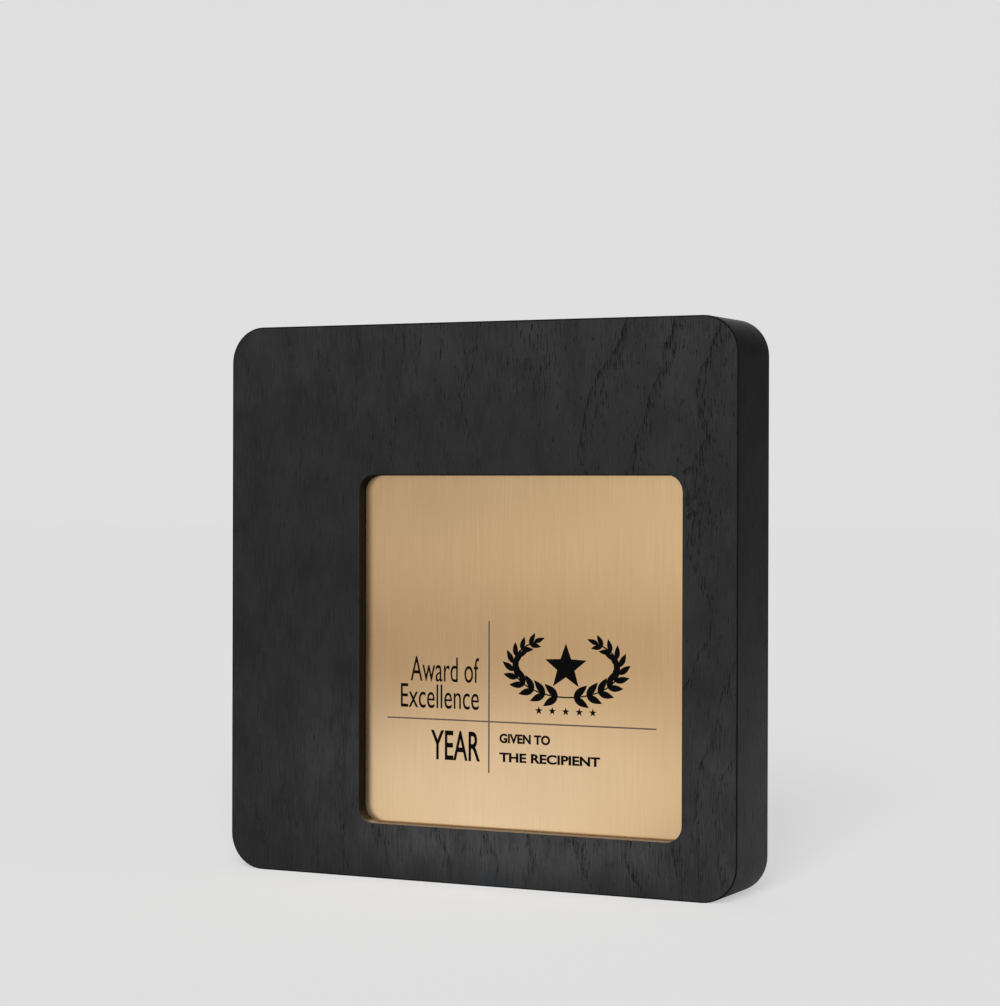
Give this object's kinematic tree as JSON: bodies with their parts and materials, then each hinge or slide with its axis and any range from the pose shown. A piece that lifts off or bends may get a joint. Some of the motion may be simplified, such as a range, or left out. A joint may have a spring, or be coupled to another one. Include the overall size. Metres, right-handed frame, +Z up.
{
  "type": "award plaque",
  "caption": "Square black-stained ash award plaque, free-standing or wall-hung, with rounded corners and a brushed gold nameplate set in an off-centre recess.",
  "frame": {"origin": "middle of the lower edge face that the plaque stands on, halfway through the wooden block's 30 mm depth (the bumpers on the back don't count)", "axes": "+Z up; the face with the nameplate looks along -Y, the back with the hanger along +Y; +X is to the right as seen from the front"},
  "size_m": [0.2, 0.032, 0.2],
  "materials": {
    "ash_veneer": "satin",
    "stained_board": "matte",
    "raw_board": "matte",
    "brushed_gold": "brushed",
    "bonding_film": "matte",
    "zinc_steel": "satin",
    "bumper_rubber": "matte",
    "print_ink": "matte"
  },
  "bodies": {
    "root": {"face_veneer": "ash_veneer", "front_board": "stained_board", "middle_board": "raw_board", "back_board": "raw_board", "back_veneer": "ash_veneer", "edge_band": "ash_veneer", "nameplate": "brushed_gold", "bonding_film": "bonding_film", "keyhole_hanger": "zinc_steel", "hanger_screws": "zinc_steel", "bumper_upper_left": "bumper_rubber", "bumper_upper_right": "bumper_rubber", "bumper_lower_left": "bumper_rubber", "bumper_lower_right": "bumper_rubber"}
  },
  "joints": []
}
